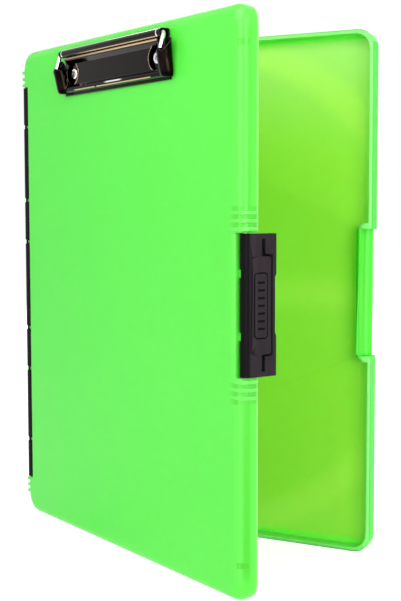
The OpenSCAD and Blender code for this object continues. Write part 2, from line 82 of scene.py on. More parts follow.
# The latch's raised pad and slits. Depths are measured from the lid's outer face.
PAD_FOLD = 10.8
PAD_END = 18.6
SLIT_OFF = 33.1
SLIT_HALF = 5.1
SLIT_DEPTHS = (13.7, 16.3)
SLIT_FLOOR_X = (133.7, 134.4)
PAD_SINK = 1.1
PAD_SINK_OVER = 3.0
PAD_BACK = 18.3
PAD_LENGTH = 9.2
PAD_SHIFT = 0.95
PAD_STRETCH = 0.45

# The ring on the pad is a rounded rectangle round this depth and the latch's middle.
RING_DEEP = 12.5
RING_FLAT_DEEP = 2.4
RING_FLAT_UP = 16.6
RING_R = 2.05

# The rolled ears: the room that is cut for them, their sheet, and their slanted tops.
EAR_ROOM_Z = (300, 345)
EAR_ROOM_WIDE = 20
EAR_ROOM_HIGH = 25
EAR_ROOM_SUNK = 2
EAR_SHEET = 0.9
EAR_LOWEST = 1.35
EAR_HIGHEST_Z = 329.8
EAR_SIDES = 36
EAR_FOOT_RINGS = 5
EAR_WALL_RINGS = 12
EAR_MERGE_GAP = 2e-5

# Where the lid's opening side carries painted light: a painted highlight along its fillet, a
# painted glow at its corner, and darker bars this far from mid height. Then the tray floor's
# pale ring, a painted reflection, and a pale band across the floor.
FILLET_X = 132.0
CORNER_GLOW_X = 130.0
CORNER_GLOW_Z = 337.0
DARK_BAR_UP = 149.0
LIGHT_RING_R = 168.0
PALE_BAND_UP = -0.8

# Where the clip carries painted reflections: the jaw's top and toe, with a split in the toe,
# and an arc round each rivet. Then the tube's underside, painted highlights at its mouths
# and crest, and the painted highlight of the jaw's pale spot.
JAW_TOP_Z = 329.25
JAW_TOE_Z = 308.5
TOE_SPLIT_X = -19.0
RIVET_ARC_R = 7.65
UNDER_START_Z = 330.7
UNDER_END_Z = 331.7
MOUTH_X = 59.3
CREST_Z = 336.0
GLINT_X = 3.5
GLINT_Z = 310.3

# Triangles closer than this join up again, and flatter bends than this dissolve.
MERGE_GAP = 1.5e-6
FLAT_BEND = math.radians(0.4)

# An edge sharper than this many degrees is eased, in this many steps.
EASE_ANGLE = 38
EASE_STEPS = 2

# The camera: its place in metres, and which ways are right and ahead. Its focal
# length is in pixels of a frame that is FRAME_PX high.
CAMERA_SPOT = (0.3963, -0.7206, 0.2278)
CAMERA_RIGHT = (0.8795, 0.4760, -0.0019)
CAMERA_AHEAD = (-0.4746, 0.8767, -0.0785)
FOCAL_PX = 1164.0
FRAME_PX = 601.0
SENSOR_MM = 36.0
LAMP_AIM = (0, -0.05, 0.17)

# The floor's half width in metres, and the level it shows at, a little past white.
FLOOR_HALF = 5
PAST_WHITE = 1.03

# Small tones that no setting changes.
LID_FOOT_TONE = (0.26, 0.66, 0.22, 1)
# Painted light on the tray's floor beside its right wall.
PAINTED_FLOOR_LIGHT = (0.50, 0.86, 0.16, 1)
DUST_TONE = (0.09, 0.08, 0.085, 1)
WORN_PLASTIC = (0.10, 0.085, 0.09, 1)
# Black for painted shade in the latch's grooves, recesses and slits.
SHADE_BLACK = (0.0012, 0.001, 0.0012, 1)
WORN_PLATING = (0.30, 0.26, 0.22, 1)
# Painted shade at the clip's foot.
FOOT_SHADE = (0.0015, 0.001, 0.001, 1)
# Painted reflections on the clip, then its painted highlight.
PAINTED_REFLECTION = (0.70, 0.52, 0.30, 1)
GLINT_TONE = (0.95, 0.90, 0.88, 1)

# Faces of a block by its corners: four round one end, then four round the other.
BLOCK_FACES = ((3, 2, 1, 0), (4, 5, 6, 7), (0, 1, 5, 4), (1, 2, 6, 5), (2, 3, 7, 6),
               (3, 0, 4, 7))


def on_lid(x, y, z):
    """A point given on the shut lid, in millimetres, where the open lid holds it."""
    turned = Matrix.Rotation(-OPEN_ANGLE, 3, "Z") @ (Vector((x, y, z)) - HINGE) + HINGE
    return turned * MM


# ---- Materials -------------------------------------------------------------


class Field:
    """A number that changes over a surface. Its operators add Math nodes."""

    def __init__(self, finish, socket):
        self.finish = finish
        self.socket = socket

    def math(self, operation, *terms, clamp=False):
        settings = {"operation": operation, "use_clamp": clamp}
        return self.finish.node("ShaderNodeMath", settings, dict(enumerate(terms)))

    def __add__(self, other):
        return self.math("ADD", self, other)

    def __sub__(self, other):
        return self.math("SUBTRACT", self, other)

    def __mul__(self, other):
        return self.math("MULTIPLY", self, other)

    def __pow__(self, other):
        return self.math("POWER", self, other)

    def __radd__(self, other):
        return self.math("ADD", other, self)

    def __rsub__(self, other):
        return self.math("SUBTRACT", other, self)

    def __rmul__(self, other):
        return self.math("MULTIPLY", other, self)

    def __abs__(self):
        return self.math("ABSOLUTE", self)

    def low(self, other):
        return self.math("MINIMUM", self, other)

    def high(self, other):
        return self.math("MAXIMUM", self, other)

    def clip(self):
        return self.math("ADD", self, 0.0, clamp=True)

    def step(self, start, end):
        """0 before start, 1 after end, and a smooth rise between them."""
        settings = {"interpolation_type": "SMOOTHSTEP"}
        inputs = {"Value": self, "From Min": start, "From Max": end}
        return self.finish.node("ShaderNodeMapRange", settings, inputs)

    def band(self, middle, half, soft):
        """1 within half of middle, fading out over soft."""
        return 1.0 - abs(self - middle).step(half, half + soft)


class Finish:
    """One procedural material and the nodes that it is made of."""

    def __init__(self, name):
        self.material = bpy.data.materials.new(name)
        self.material.use_nodes = True
        self.tree = self.material.node_tree
        self.tree.nodes.clear()

    def node(self, kind, settings=None, inputs=None, output=0):
        made = self.tree.nodes.new(kind)
        for key, value in (settings or {}).items():
            setattr(made, key, value)
        for key, value in (inputs or {}).items():
            if isinstance(value, Field):
                self.tree.links.new(value.socket, made.inputs[key])
            else:
                made.inputs[key].default_value = value
        return Field(self, made.outputs[output]) if len(made.outputs) else made

    def place(self, on_open_lid=False):
        """Where a point lies on the shut case, in millimetres."""
        spot = self.node("ShaderNodeTexCoord", output=3)
        inputs = {"Vector": spot, "Scale": (1000, 1000, 1000)}
        if on_open_lid:
            shift = HINGE - Matrix.Rotation(OPEN_ANGLE, 3, "Z") @ HINGE
            inputs["Rotation"] = (0, 0, OPEN_ANGLE)
            inputs["Location"] = shift
        return self.node("ShaderNodeMapping", None, inputs)

    def axes(self, place):
        parts = self.node("ShaderNodeSeparateXYZ", None, {0: place})
        outputs = parts.socket.node.outputs
        return [Field(self, outputs[i]) for i in range(3)]

    def stretched(self, place, scale):
        return self.node("ShaderNodeMapping", None, {"Vector": place, "Scale": scale})

    def noise(self, place, size, detail=2.0, rough=0.5, wobble=0.0):
        inputs = {"Vector": place, "Scale": 1.0 / size, "Detail": detail,
                  "Roughness": rough, "Distortion": wobble}
        return self.node("ShaderNodeTexNoise", None, inputs)

    def rounded(self, radius):
        """The surface's normal, as if its sharp edges were rounded by radius millimetres."""
        return self.node("ShaderNodeBevel", {"samples": 8}, {"Radius": radius * MM})

    def edges(self, rounded, gain):
        """1 on sharp edges and 0 on flat faces."""
        flat = self.node("ShaderNodeNewGeometry", output=1)
        dot = self.node("ShaderNodeVectorMath", {"operation": "DOT_PRODUCT"},
                        {0: rounded, 1: flat}, output=1)
        return ((1.0 - dot) * gain).clip()

    def mix(self, mask, first, second):
        settings = {"data_type": "RGBA"}
        return self.node("ShaderNodeMix", settings, {0: mask, 6: first, 7: second}, output=2)

    def bump(self, height, depth, strength, under):
        """depth is in millimetres for a height that runs from 0 to 1."""
        inputs = {"Strength": strength, "Distance": depth * MM, "Height": height,
                  "Normal": under}
        return self.node("ShaderNodeBump", None, inputs)

    def surface(self, **inputs):
        """The shader itself. Names are its sockets', with _ for a space."""
        named = {key.replace("_", " "): value for key, value in inputs.items()}
        shader = self.node("ShaderNodeBsdfPrincipled", None, named)
        self.node("ShaderNodeOutputMaterial", None, {"Surface": shader})
        return self.material


def rgba(colour):
    return (*colour[:3], 1.0)


def lid_edge_light_and_shade(x, z, depth):
    """Painted light along the lid's opening side: painted highlights on the fillet, the rib
    crests and a corner glow, and painted shade on the side wall and between the ribs, with
    darker bars near the wall's ends.
    """
    right = x.step(132.4, 133.6)
    front = 1.0 - depth.step(0.8, 2.0)
    # a painted highlight along the fillet
    fillet = x.band(FILLET_X, 0.5, 0.8) * front * 0.5
    # painted shade on the side wall
    wall = right * depth.step(0.3, 3.2) * (1.0 - depth.step(4.5, 9.0)) * 0.8
    wall = wall * (1.0 - abs(z - CASE_H / 2).step(152.0, 166.0))
    # a painted glow at the lid's top corner
    off, up = x - CORNER_GLOW_X, z - CORNER_GLOW_Z
    corner_glow = 1.0 - ((off * off + up * up * 0.4) ** 0.5).step(0.5, 3.6)
    up = abs(z - LATCH_Z)
    near = x.step(122.0, 131.0)
    crest, valley = None, None
    # painted highlights on the rib crests, painted shade between the ribs
    for rib in range(3):
        line = up.band(RIB_FIRST + RIB_PITCH * rib, 0.55, 0.6)
        gap = up.band(RIB_FIRST + RIB_PITCH * (rib + 0.5), 1.0, 0.9)
        crest = line if crest is None else crest.high(line)
        valley = gap if valley is None else valley.high(gap)
    # darker bars near each end of the wall
    dark_bars = abs(z - CASE_H / 2).band(DARK_BAR_UP, 1.5, 0.8) * x.step(129.5, 131.0)
    dark_bars = dark_bars * (1.0 - depth.step(5.0, 7.0))
    # pale is painted highlight; deep is painted shade and the darker bars
    pale = fillet.high(crest * near * 0.6).high(corner_glow)
    deep = wall.high(valley * near * 0.6).high(dark_bars)
    return pale * 0.6, deep


def tray_floor_light(x, z):
    """A pale ring in the tray's floor, a painted reflection of a round lamp, and a pale band
    across it near mid height.
    """
    up = z - CASE_H / 2
    far = (x * x + up * up) ** 0.5
    ring = far.band(LIGHT_RING_R, 3.0, 13.0)
    pale_band = up.band(PALE_BAND_UP, 1.5, 16.0)
    return (ring * 0.45).high(pale_band * 0.5)


def frosted_green(name, look, on_open_lid):
    """Translucent frosted polypropylene: cloudy, lighter where its edges are thick."""
    fin = Finish(name)
    place = fin.place(on_open_lid)
    x, y, z = fin.axes(place)
    panel = look.lid_colour if on_open_lid else look.tray_colour
    depth = (y - FRONT_Y) if on_open_lid else (BACK_Y - y)
    from_edge = (SIDE_X - (x if on_open_lid else abs(x))).low(z).low(CASE_H - z)
    wall = 1.0 - from_edge.step(1.5, 9.0)
    lip = 2.6 if on_open_lid else 5.5
    rim = depth.step(SHELL_D - lip, SHELL_D - lip + 2.0)
    rounded = fin.rounded(0.5)
    edge = fin.edges(rounded, 5.0)
    cloud = fin.noise(place, 55.0, 3.0, 0.55, 0.4)
    fine = fin.noise(place, 0.35, 2.0, 0.6)
    grain = fin.noise(place, 2.2, 3.0, 0.55)
    streak = fin.noise(fin.stretched(place, (1, 1, 0.12)), 9.0, 2.0, 0.5)
    if on_open_lid:
        # The lid is painted lighter towards its opening side: painted light falling from that
        # side.
        tone = fin.mix(x.step(-110.0, 130.0) * 0.5, rgba(panel), rgba(look.wall_colour))
        tone = fin.mix(wall * 0.5, tone, rgba(look.wall_colour))
    else:
        # Near its sides the tray is painted paler: painted light against the shade of its
        # walls.
        flank = (SIDE_X - abs(x)).low(9.0)
        tone = fin.mix(wall, rgba(panel), rgba(look.wall_colour))
        tone = fin.mix((1.0 - flank.step(2.5, 7.0)) * 0.8, tone, rgba(look.cloud_and_light_colour))
    tone = fin.mix(((cloud - 0.42) * 1.6).clip() * (0.12 if on_open_lid else 0.4), tone,
                   rgba(look.cloud_and_light_colour if on_open_lid else look.glow_colour))
    if on_open_lid:
        # Painted highlights and painted shade along the lid's opening side.
        pale, deep = lid_edge_light_and_shade(x, z, depth)
        tone = fin.mix(deep * (1.0 - rim), tone, rgba(look.lid_shade_colour))
        tone = fin.mix(pale, tone, rgba(look.cloud_and_light_colour))
        foot = (1.0 - z.step(0.8, 2.0)) * (1.0 - depth.step(4.0, 6.0)) * 0.75
        tone = fin.mix(foot, tone, LID_FOOT_TONE)
    else:
        inner = depth.step(0.5, 1.2)
        tone = fin.mix((1.0 - inner) * 0.85, tone, rgba(look.wall_colour))
        # The floor is painted paler towards its top: painted light.
        lit_top = z.step(250.0, 332.0) * (1.0 - wall) * inner * 0.6
        tone = fin.mix(lit_top, tone, rgba(look.lit_top_colour))
        tone = fin.mix(tray_floor_light(x, z) * (1.0 - wall) * (0.25 + inner * 0.75), tone,
                       rgba(look.floor_light_colour))
        # Beside the tray's right wall the floor is painted paler: painted light where the wall
        # shades it.
        beside = (1.0 - (SIDE_X - x).step(5.0, 15.0)) * inner * (1.0 - depth.step(6.0, 8.0))
        beside = beside * 0.5
        tone = fin.mix(beside, tone, PAINTED_FLOOR_LIGHT)
        up = abs(z - LATCH_Z)
        bay = (1.0 - up.step(41.5, 43.0)) * x.step(120.0, 121.5)
        tone = fin.mix(bay * (1.0 - depth.step(2.5, 3.5)) * 0.9, tone, rgba(look.flange_colour))
        outside = (x.step(SIDE_X - 0.6, SIDE_X - 0.3)).high(bay * depth.step(2.5, 3.5))
    # The rims' glow and the paler sharp edges are painted light.
    glowing = rim * 0.85 if on_open_lid else rim * 0.85 * (1.0 - outside)
    tone = fin.mix(glowing.high(edge * 0.8), tone,
                   rgba(look.rim_colour if on_open_lid else look.cloud_and_light_colour))
    if not on_open_lid:
        tone = fin.mix(outside * 0.85, tone, rgba(look.flank_colour))
    height = fine * 0.5 + grain * 0.35 + streak * 0.15
    return fin.surface(
        Base_Color=tone,
        Roughness=0.36 + (cloud - 0.5) * 0.12 + (fine - 0.5) * 0.10,
        IOR=1.45,
        Specular_IOR_Level=0.4,
        Subsurface_Weight=look.depth_weight,
        Subsurface_Radius=(0.5, 1.0, 0.3),
        Subsurface_Scale=look.depth_mm * MM,
        Normal=fin.bump(height, 0.02, 0.6, rounded),
    )


def latch_shade(fin, place):
    """Painted shade in the latch's grooves, recesses and slits, and over its glossy barrel."""
    x, y, z = fin.axes(place)
    deep = y - FRONT_Y
    up = abs(z - LATCH_Z)
    # distance from the ring's rounded rectangle
    out_d = (abs(deep - RING_DEEP) - RING_FLAT_DEEP).high(0.0)
    out_z = (up - RING_FLAT_UP).high(0.0)
    far = (out_d * out_d + out_z * out_z) ** 0.5
    near = ((abs(deep - RING_DEEP) - RING_FLAT_DEEP).high(up - RING_FLAT_UP)).low(0.0)
    # painted shade along the groove round the pad
    ring = (far + near).band(RING_R, 0.32, 0.15)
    # painted shade in the pad's sunken field and grips
    inside = deep.step(9.9, 10.0) * (1.0 - deep.step(18.4, 18.6)) * (1.0 - up.step(27.5, 27.8))
    grips = inside * (1.0 - x.step(LATCH_FACE_X + 0.9, LATCH_FACE_X + 1.0))
    # painted shade in the slits and the groove across the latch
    slits = deep.band(15.0, 1.25, 0.15) * up.band(33.0, 4.9, 0.3)
    groove = deep.step(19.3, 19.5) * (1.0 - deep.step(21.6, 21.9)) * (1.0 - up.step(29.0, 29.4))
    across = deep.step(14.0, 14.5) * (1.0 - deep.step(19.4, 19.6)) * up.band(28.7, 0.6, 0.2)
    groove = groove.high(across)
    groove = groove * (1.0 - x.step(LATCH_FACE_X + 0.1, LATCH_FACE_X + 0.3))
    # the barrel is painted dark: painted shade
    barrel = (1.0 - deep.step(5.2, 7.4)) * 0.95
    return ring.high(grips).high(slits).high(groove).high(barrel)


def moulded_black(name, colour, on_open_lid, rough, painted_shade=None):
    """Black moulded plastic with a fine eroded texture and rubbed edges."""
    fin = Finish(name)
    place = fin.place(on_open_lid)
    rounded = fin.rounded(0.3)
    edge = fin.edges(rounded, 4.0)
    pits = fin.noise(place, 0.28, 3.0, 0.65)
    patch = fin.noise(place, 14.0, 3.0, 0.5)
    dust = fin.noise(place, 1.1, 4.0, 0.7)
    lighter = [c * 1.7 + 0.004 for c in colour[:3]]
    tone = fin.mix(((patch - 0.4) * 1.5).clip() * 0.5, rgba(colour), rgba(lighter))
    tone = fin.mix(dust.step(0.68, 0.82) * 0.2, tone, DUST_TONE)
    tone = fin.mix(edge * (0.2 + patch * 0.4), tone, WORN_PLASTIC)
    # where given, painted shade darkens the grooves and hollows
    if painted_shade:
        tone = fin.mix(painted_shade(fin, place), tone, SHADE_BLACK)
    return fin.surface(
        Base_Color=tone,
        Roughness=rough + (patch - 0.5) * 0.12 + (pits - 0.5) * 0.1,
        Specular_IOR_Level=0.07,
        Normal=fin.bump(pits, 0.05, 0.7, rounded),
    )


def jaw_highlights(fin, place):
    """Painted reflections along the jaw's folds and round its rivets, and a painted highlight
    as a pale spot on its lower fold.
    """
    x, y, z = fin.axes(place)
    high = FRONT_Y - y
    side = abs(x)
    lip = z.step(JAW_TOP_Z, JAW_TOP_Z + 0.25) * (1.0 - side.step(57.5, 58.2))
    toe = z.band(JAW_TOE_Z, 0.28, 0.12) * high.step(2.4, 2.9) * (1.0 - side.step(46.5, 48.5))
    split = x.band(TOE_SPLIT_X, 0.9, 0.4)
    glint = z.band(GLINT_Z, 0.25, 0.5) * x.band(GLINT_X, 6.5, 6.0)
    off, up = side - RIVET_X, z - RIVET_Z
    arc = ((off * off + up * up) ** 0.5).band(RIVET_ARC_R, 0.25, 0.2)
    arc = arc * (1.0 - side.step(47.0, 49.5))
    # the painted reflections grow brighter towards +x, as the light falls
    fade = 0.45 + x.step(-60.0, 20.0) * 0.55
    return (lip * fade).high(toe * (1.0 - split)).high(arc * 0.7), glint


def tube_highlights(fin, place):
    """A painted reflection along the rolled tube's underside, and painted highlights as bright
    lines at its mouths and crest.
    """
    x, y, z = fin.axes(place)
    high = FRONT_Y - y
    side = abs(x)
    under = z.step(UNDER_START_Z, UNDER_START_Z + 0.2)
    under = under * (1.0 - z.step(UNDER_END_Z, UNDER_END_Z + 0.25)) * high.step(3.5, 4.5)
    mouth = side.band(MOUTH_X, 0.35, 0.2) * z.step(331.0, 331.4)
    crest = z.band(CREST_Z, 0.16, 0.1) * (1.0 - side.step(58.5, 59.0))
    # the painted reflection grows brighter towards +x, as the light falls
    fade = 0.15 + x.step(-52.0, -25.0) * 0.85
    return under * (1.0 - side.step(58.5, 59.5)) * fade, mouth.high(crest)


def shaded_foot(fin, place):
    """Painted shade at the foot of the clip's plate and jaw."""
    height = fin.axes(place)[2]
    return 1.0 - height.step(FOOT_FULL_Z, FOOT_END_Z)


def plated(name, colour, rough, on_open_lid=True, scratch=0.4, rubbed=None):
    """Bright plating over pressed metal, rubbed bright along its edges."""
    fin = Finish(name)
    place = fin.place(on_open_lid)
    rounded = fin.rounded(0.25)
    edge = fin.edges(rounded, 4.0)
    lines = fin.noise(fin.stretched(place, (0.05, 1, 2.2)), 0.45, 2.0, 0.6)
    smudge = fin.noise(place, 8.0, 3.0, 0.6, 0.6)
    waves = fin.noise(place, 16.0, 1.0, 0.4)
    rub = fin.noise(fin.stretched(place, (0.25, 1, 1)), 0.8, 4.0, 0.7)
    duller = [c * 0.6 for c in colour[:3]]
    tone = fin.mix(smudge.step(0.35, 0.75), rgba(colour), rgba(duller))
    tone = fin.mix(edge * 0.5, tone, WORN_PLATING)
    # With rubbed, the clip gets painted light: painted shade at its foot, painted reflections
    # where bare is, and a painted highlight where glint is.
    if rubbed:
        bare, glint = rubbed(fin, place)
        tone = fin.mix(shaded_foot(fin, place) * (1.0 - bare) * 0.8, tone,
                       FOOT_SHADE)
        tone = fin.mix(bare * (0.75 + (rub - 0.5) * 0.5), tone, PAINTED_REFLECTION)
        tone = fin.mix(glint, tone, GLINT_TONE)
    height = lines * 0.3 * scratch + rub * 0.2 * scratch
    normal = fin.bump(waves, 0.08, 0.3, fin.bump(height, 0.01, 0.4, rounded))
    return fin.surface(
        Base_Color=tone,
        Metallic=1.0,
        Roughness=rough + smudge.step(0.45, 0.8) * 0.1 + (rub - 0.5) * 0.05,
        Normal=normal,
    )


# ---- Meshes ----------------------------------------------------------------


def put(obj, body, material=None, replaces=()):
    """Hands a finished piece to the body that it moves with."""
    if material:
        obj.data.materials.clear()
        obj.data.materials.append(material)
    if replaces:
        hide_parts(*replaces)
    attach(obj, body)
    return obj


def linked(name, mesh):
    obj = bpy.data.objects.new(name, mesh)
    bpy.context.scene.collection.objects.link(obj)
    return obj


def shade(mesh, angle=32):
    """Smooth shading that keeps edges sharper than the angle."""
    mesh.polygons.foreach_set("use_smooth", [True] * len(mesh.polygons))
    mesh.set_sharp_from_angle(angle=math.radians(angle))


def repaint(nodes, material):
    """Gives the solids that are shown as they come their material."""
    for node in nodes:
        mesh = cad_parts[node].data
        mesh.materials.clear()
        mesh.materials.append(material)


def merged(node):
    """A node's solid, open for editing, with its loose triangles joined up."""
    bm = bmesh.new()
    bm.from_mesh(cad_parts[node].data)
    bmesh.ops.remove_doubles(bm, verts=bm.verts, dist=MERGE_GAP)
    bmesh.ops.dissolve_limit(bm, angle_limit=FLAT_BEND, verts=bm.verts, edges=bm.edges,
                             use_dissolve_boundaries=False)
    return bm


def closed(bm, name):
    """Ends the editing of a mesh and puts it in the scene."""
    mesh = bpy.data.meshes.new(name)
    bm.to_mesh(mesh)
    bm.free()
    return linked(name, mesh)


def block(bm, corners):
    """Adds a closed block with these eight corners."""
    verts = [bm.verts.new(corner) for corner in corners]
    for face in BLOCK_FACES:
        bm.faces.new([verts[i] for i in face])


def tighter_corner(x, z):
    """Moves a point of a shell's corner out, so the corner turns at CORNER_R."""
    side, end = (1 if x > 0 else -1), (1 if z > CASE_H / 2 else -1)
    off = abs(x) - (SIDE_X - CAD_CORNER_R)
    up = abs(z - CASE_H / 2) - (CASE_H / 2 - CAD_CORNER_R)
    far = math.hypot(off, up)
    if off <= 0 or up <= 0 or far < 1:
        return x, z
    # how far out the tighter outline lies in this direction
    slip = CAD_CORNER_R - CORNER_R
    out, rise = off / far, up / far
    reach = CAD_CORNER_R / max(out, rise)
    if out * reach > slip and rise * reach > slip:
        along = slip * (out + rise)
        reach = along + math.sqrt(along * along - 2 * slip * slip + CORNER_R * CORNER_R)
    grown = 1 + (reach / CAD_CORNER_R - 1) * min(far / CAD_CORNER_R, 1) ** 2
    return (side * (SIDE_X - CAD_CORNER_R + off * grown),
            CASE_H / 2 + end * (CASE_H / 2 - CAD_CORNER_R + up * grown))


def eased(name, node, ease, corners=None):
    """A copy of a node's solid, its sharp edges eased over ease millimetres unless that
    is 0. corners names the shell, lid or tray, whose corners are made tighter."""
    bm = merged(node)
    if ease:
        limit = math.radians(EASE_ANGLE)
        edges = [e for e in bm.edges
                 if len(e.link_faces) == 2 and e.calc_face_angle() > limit]
        bmesh.ops.bevel(bm, geom=edges, offset=ease * MM, offset_type="OFFSET",
                        segments=EASE_STEPS, profile=0.5, affect="EDGES",
                        clamp_overlap=False, miter_outer="ARC")
    bmesh.ops.triangulate(bm, faces=[f for f in bm.faces if len(f.verts) > 4])
    shut = Matrix.Rotation(OPEN_ANGLE, 3, "Z")
    for vert in bm.verts if corners else ():
        x, y, z = vert.co / MM
        if corners == "lid":
            x, y, z = shut @ (vert.co / MM - HINGE) + HINGE
            x, z = tighter_corner(x, z)
            vert.co = on_lid(x, y, z)
        else:
            x, z = tighter_corner(x, z)
            vert.co = Vector((x, y, z)) * MM
    copy = closed(bm, name)
    shade(copy.data)
    return copy


def flattened(obj):
    """Shades large flat faces flat, and only the bends between them smooth."""
    flatten = obj.modifiers.new("Flat faces stay flat", "WEIGHTED_NORMAL")
    flatten.keep_sharp = True
    flatten.weight = 80
    return baked(obj)


def baked(obj):
    """Keeps what an object's modifiers make of it as its plain mesh."""
    bpy.context.view_layer.update()
    evaluated = obj.evaluated_get(bpy.context.evaluated_depsgraph_get())
    mesh = bpy.data.meshes.new_from_object(evaluated)
    obj.modifiers.clear()
    bare = obj.data
    obj.data = mesh
    bpy.data.meshes.remove(bare)
    return obj


def path_mesh(name, points):
    """A bare path of straight edges, for a node tree to follow."""
    mesh = bpy.data.meshes.new(name)
    mesh.from_pydata(points, [(i, i + 1) for i in range(len(points) - 1)], [])
    return linked(name, mesh)


class Tree:
    """A Geometry Nodes tree with named inputs."""

    def __init__(self, name, sizes):
        self.group = bpy.data.node_groups.new(name, "GeometryNodeTree")
        face = self.group.interface
        face.new_socket("Geometry", in_out="INPUT", socket_type="NodeSocketGeometry")
        face.new_socket("Geometry", in_out="OUTPUT", socket_type="NodeSocketGeometry")
        self.named = {}
        for label, (kind, value) in sizes.items():
            socket = face.new_socket(label, in_out="INPUT", socket_type=kind)
            self.named[label] = (socket.identifier, value)
        self.input = self.group.nodes.new("NodeGroupInput")

    def size(self, label):
        return self.input.outputs[label]

    def node(self, kind, settings=None, inputs=None):
        made = self.group.nodes.new(kind)
        for key, value in (settings or {}).items():
            setattr(made, key, value)
        for key, value in (inputs or {}).items():
            if isinstance(value, bpy.types.NodeSocket):
                self.group.links.new(value, made.inputs[key])
            elif isinstance(value, bpy.types.Node):
                self.group.links.new(value.outputs[0], made.inputs[key])
            else:
                made.inputs[key].default_value = value
        return made

    def close(self, last, material):
        real = self.node("GeometryNodeRealizeInstances", None, {0: last})
        dressed = self.node("GeometryNodeSetMaterial", None, {0: real, "Material": material})
        self.node("NodeGroupOutput", None, {0: dressed})

    def grow(self, obj):
        """Runs the tree on an object and keeps the result as a plain mesh."""
        modifier = obj.modifiers.new("Grow", "NODES")
        modifier.node_group = self.group
        for identifier, value in self.named.values():
            modifier[identifier] = value
        return baked(obj)


# ---- Settings --------------------------------------------------------------


class CaseLook(bpy.types.PropertyGroup):
    """Colours of the two shells."""

    lid_colour: FloatVectorProperty(
        name="Lid colour", description="Colour of the lid's panel", subtype="COLOR",
        size=3, min=0, max=1, default=(0.086, 0.80, 0.056))
    # The tray's panel is yellower than the lid's, though both are one plastic: partly its tone,
    # partly painted light bounced between the shells.
    tray_colour: FloatVectorProperty(
        name="Tray colour", description="Colour of the tray's panel", subtype="COLOR",
        size=3, min=0, max=1, default=(0.315, 0.655, 0.052))
    wall_colour: FloatVectorProperty(
        name="Wall colour", description="Colour of the shells' side walls", subtype="COLOR",
        size=3, min=0, max=1, default=(0.135, 0.86, 0.074))
    rim_colour: FloatVectorProperty(
        name="Rim colour", description="Colour of the thin rims, which glow", subtype="COLOR",
        size=3, min=0, max=1, default=(0.33, 0.96, 0.20))
    # Milky clouds, and painted light: pale edges, the tray's paler sides, the lid's highlights.
    cloud_and_light_colour: FloatVectorProperty(
        name="Cloud and light colour", description="Colour of the milky clouds and pale edges",
        subtype="COLOR", size=3, min=0, max=1, default=(0.24, 0.94, 0.20))
    glow_colour: FloatVectorProperty(
        name="Tray cloud colour", description="Colour of the lighter clouds in the tray",
        subtype="COLOR", size=3, min=0, max=1, default=(0.35, 0.70, 0.065))
    # Painted shade on the lid's side wall and between its ribs, and its darker bars.
    lid_shade_colour: FloatVectorProperty(
        name="Lid shade colour", description="Colour of the lid's side wall and between its ribs",
        subtype="COLOR", size=3, min=0, max=1, default=(0.068, 0.52, 0.022))
    # The pale ring is a painted reflection; the pale band across the floor shares this colour.
    floor_light_colour: FloatVectorProperty(
        name="Floor light colour", description="Colour of the flow lines in the tray's floor",
        subtype="COLOR", size=3, min=0, max=1, default=(0.44, 0.76, 0.09))
    # Painted light on the tray's floor towards its top.
    lit_top_colour: FloatVectorProperty(
        name="Lit top colour", description="Paler tone of the tray's floor towards its top",
        subtype="COLOR", size=3, min=0, max=1, default=(0.32, 0.60, 0.15))
    flank_colour: FloatVectorProperty(
        name="Flank colour", description="Colour of the tray's outer flank and latch bay",
        subtype="COLOR", size=3, min=0, max=1, default=(0.050, 0.72, 0.036))
    flange_colour: FloatVectorProperty(
        name="Flange colour", description="Colour of the low flange in the latch bay",
        subtype="COLOR", size=3, min=0, max=1, default=(0.16, 0.60, 0.04))
    depth_weight: FloatProperty(
        name="Translucency", description="Share of the light that enters the plastic",
        subtype="FACTOR", min=0, max=1, default=0.7)
    depth_mm: FloatProperty(
        name="Light depth", description="How far light travels in the plastic, in millimetres",
        min=0, max=20, default=8.0)


class FittingLook(bpy.types.PropertyGroup):
    """Colours of the plastic fittings."""

    spine_colour: FloatVectorProperty(
        name="Spine colour", description="Colour of the spine", subtype="COLOR",
        size=3, min=0, max=1, default=(0.007, 0.005, 0.007))
    latch_colour: FloatVectorProperty(
        name="Latch colour", description="Colour of the latch", subtype="COLOR",
        size=3, min=0, max=1, default=(0.022, 0.017, 0.021))


class ClipLook(bpy.types.PropertyGroup):
    """Sizes and colours of the paper clip."""

    plate_colour: FloatVectorProperty(
        name="Plate colour", description="Tint of the black-nickel plating",
        subtype="COLOR", size=3, min=0, max=1, default=(0.009, 0.006, 0.005))
    wire_colour: FloatVectorProperty(
        name="Wire colour", description="Tint of the bright wire and rivets",
        subtype="COLOR", size=3, min=0, max=1, default=(0.80, 0.79, 0.80))
    wire_radius: FloatProperty(
        name="Wire radius", description="Radius of the spring wire", subtype="DISTANCE",
        unit="LENGTH", min=0.0005, max=0.003, default=0.0014)
    elbow_radius: FloatProperty(
        name="Elbow radius", description="Radius of the wire's bends", subtype="DISTANCE",
        unit="LENGTH", min=0.0005, max=0.006, default=0.0022)


class StageLook(bpy.types.PropertyGroup):
    """Floor, lamps and camera."""

    floor_colour: FloatVectorProperty(
        name="Floor colour", description="Colour of the floor", subtype="COLOR",
        size=3, min=0, max=1, default=(0.86, 0.86, 0.86))
    sky_level: FloatProperty(
        name="Sky level", description="Strength of the even light all round", min=0, max=3,
        default=0.42)
    key_power: FloatProperty(
        name="Key lamp", description="Power of the large soft lamp", subtype="POWER",
        unit="POWER", min=0, max=200, default=14.0)
    focal_length: FloatProperty(
        name="Focal length", description="Focal length of the camera, in millimetres",
        min=10, max=200, default=FOCAL_PX / FRAME_PX * SENSOR_MM)


# ---- Pieces ----------------------------------------------------------------


